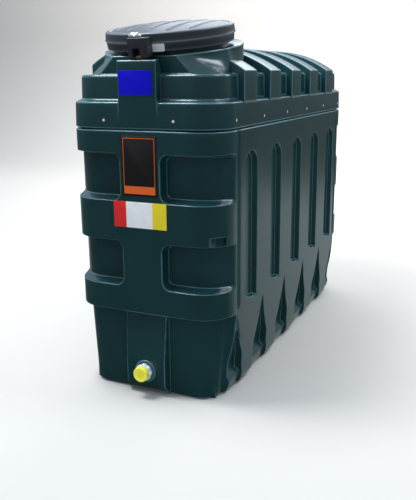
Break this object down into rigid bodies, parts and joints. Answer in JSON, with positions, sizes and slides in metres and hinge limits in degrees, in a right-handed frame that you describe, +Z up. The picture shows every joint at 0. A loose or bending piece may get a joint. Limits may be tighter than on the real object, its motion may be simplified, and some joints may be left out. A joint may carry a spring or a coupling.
{
  "type": "bunded oil tank",
  "caption": "Slim moulded oil tank inside an outer bund, with a banded and fluted body, a screwed-on hood with an arched ribbed roof, a low capped outlet and a hinged round hatch lid.",
  "frame": {"origin": "on the floor, in the middle of the box that holds the whole tank", "axes": "+Z up; the front end with the outlet looks along -Y; +X to the right as seen from the front"},
  "size_m": [0.7, 1.916, 1.5393],
  "materials": {
    "green_plastic": "moulded, dark green, satin",
    "black_plastic": "moulded, black, satin",
    "inner_plastic": "moulded, near black",
    "steel": "bright plated steel",
    "brass": "plain brass",
    "white_plastic": "plain white",
    "yellow_plastic": "moulded, yellow",
    "blue_plate": "plain blue plate, no lettering",
    "black_plate": "plain black plate, no lettering"
  },
  "bodies": {
    "tank": {"bund_floor": "green_plastic", "bund_front_end": "green_plastic", "bund_back_end": "green_plastic", "bund_left_side": "green_plastic", "bund_right_side": "green_plastic", "hood_front_end": "green_plastic", "hood_back_end": "green_plastic", "hood_left_side": "green_plastic", "hood_right_side": "green_plastic", "hood_front_panel": "green_plastic", "hood_deck": "green_plastic", "hood_roof": "green_plastic", "hatch_neck": "green_plastic", "neck_left_shoulder": "green_plastic", "neck_right_shoulder": "green_plastic", "roof_rib_1_left": "green_plastic", "roof_rib_1_right": "green_plastic", "roof_rib_2": "green_plastic", "roof_rib_3": "green_plastic", "roof_rib_4": "green_plastic", "roof_rib_5": "green_plastic", "outlet_boss": "green_plastic", "hinge_bracket": "black_plastic", "inspection_cap": "black_plastic", "fill_cap": "black_plastic", "vent_cap": "black_plastic", "inner_tank_left_wall": "inner_plastic", "inner_tank_right_wall": "inner_plastic", "inner_tank_front_wall": "inner_plastic", "inner_tank_back_wall": "inner_plastic", "inner_tank_top": "inner_plastic", "hinge_pin": "steel", "gauge_cap": "steel", "outlet_collar": "white_plastic", "colour_plate": "white_plastic", "outlet_cap": "yellow_plastic", "notice_plate": "blue_plate", "data_plate": "black_plate"},
    "lid": {"hatch_lid": "black_plastic", "lid_hasp": "black_plastic", "lock_dome": "steel", "lock_bolt": "brass", "lid_tag": "white_plastic", "hinge_knuckle": "black_plastic"}
  },
  "joints": [
    {"name": "lid_hinge", "type": "hinge", "parent": "tank", "child": "lid", "pos_m": [0, -0.33296, 1.4804], "axis": [-1, 0, 0], "range_deg": [0, 110]}
  ]
}
